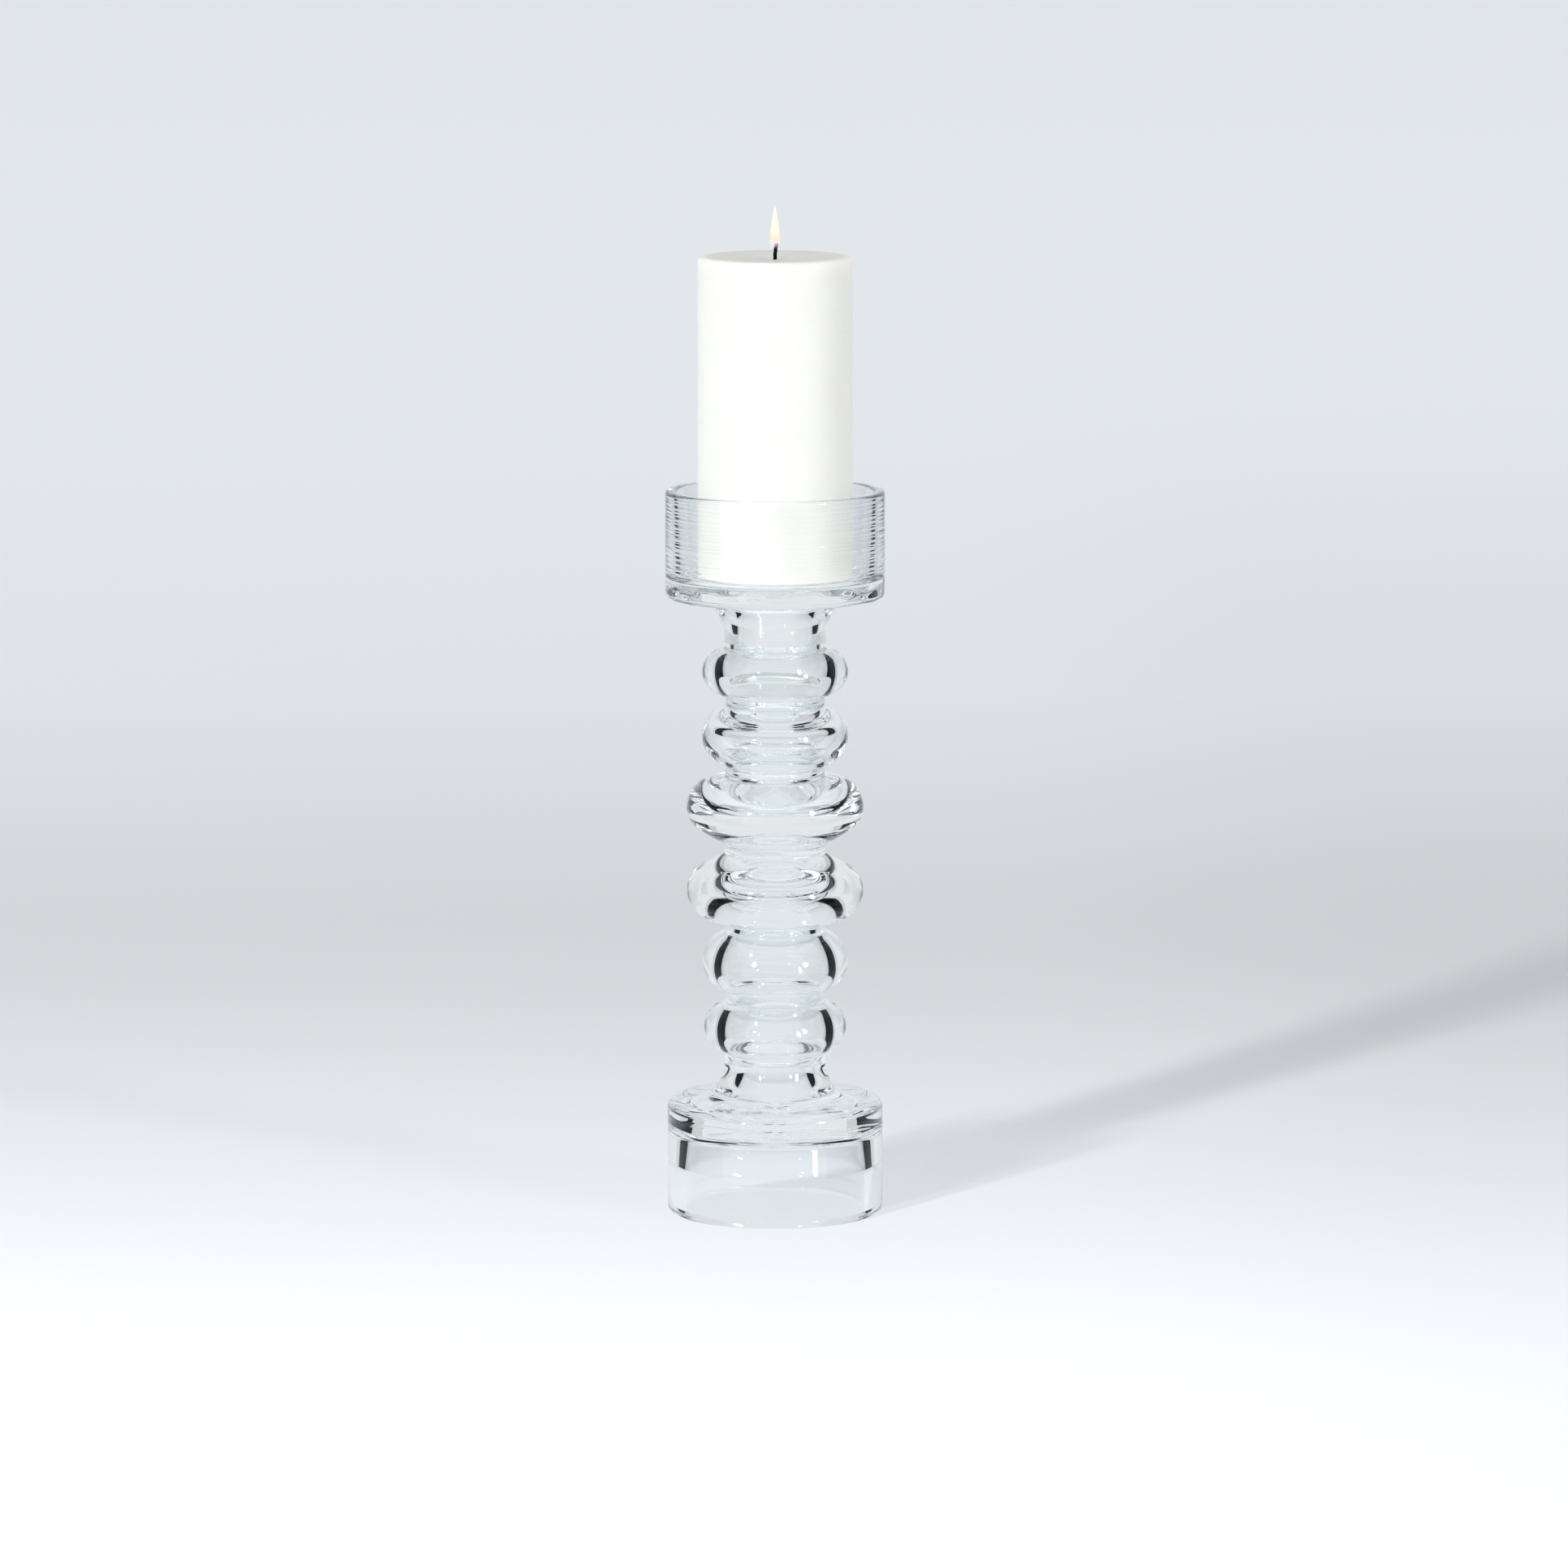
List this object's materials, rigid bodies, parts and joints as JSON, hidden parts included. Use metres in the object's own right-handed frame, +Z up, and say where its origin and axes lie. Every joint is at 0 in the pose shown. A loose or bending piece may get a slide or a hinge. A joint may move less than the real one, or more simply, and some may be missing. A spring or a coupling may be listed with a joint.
{
  "type": "candle holder",
  "caption": "Tall clear glass candle holder of stacked hollow rings with a round cup, an open base and a lift-out pillar candle.",
  "frame": {"origin": "centre of the circle the base stands on", "axes": "+Z up along the stem; the holder is turned about Z, and the wick leans towards +X"},
  "size_m": [0.1068, 0.1068, 0.4759],
  "materials": {
    "clear_glass": "polished clear",
    "adhesive": "clear cured",
    "wax": "smooth ivory wax",
    "wick_cord": "charred cotton",
    "tinned_steel": "tinned"
  },
  "bodies": {
    "holder": {"candle_cup": "clear_glass", "upper_neck": "clear_glass", "ring_1": "clear_glass", "ring_2": "clear_glass", "ring_3": "clear_glass", "ring_4": "clear_glass", "ring_5": "clear_glass", "ring_6": "clear_glass", "lower_neck": "clear_glass", "base_cup": "clear_glass", "bond_upper_neck_to_candle_cup": "adhesive", "bond_ring_1_to_upper_neck": "adhesive", "bond_ring_2_to_ring_1": "adhesive", "bond_ring_3_to_ring_2": "adhesive", "bond_ring_3_to_ring_4": "adhesive", "bond_ring_4_to_ring_5": "adhesive", "bond_ring_5_to_ring_6": "adhesive", "bond_ring_6_to_lower_neck": "adhesive", "bond_lower_neck_to_base_cup": "adhesive"},
    "candle": {"candle_wax": "wax", "wick": "wick_cord", "wick_sustainer": "tinned_steel"}
  },
  "joints": [
    {"name": "candle_lift", "type": "slide", "parent": "holder", "child": "candle", "axis": [0, 0, 1], "range_m": [0, 0.06]}
  ]
}
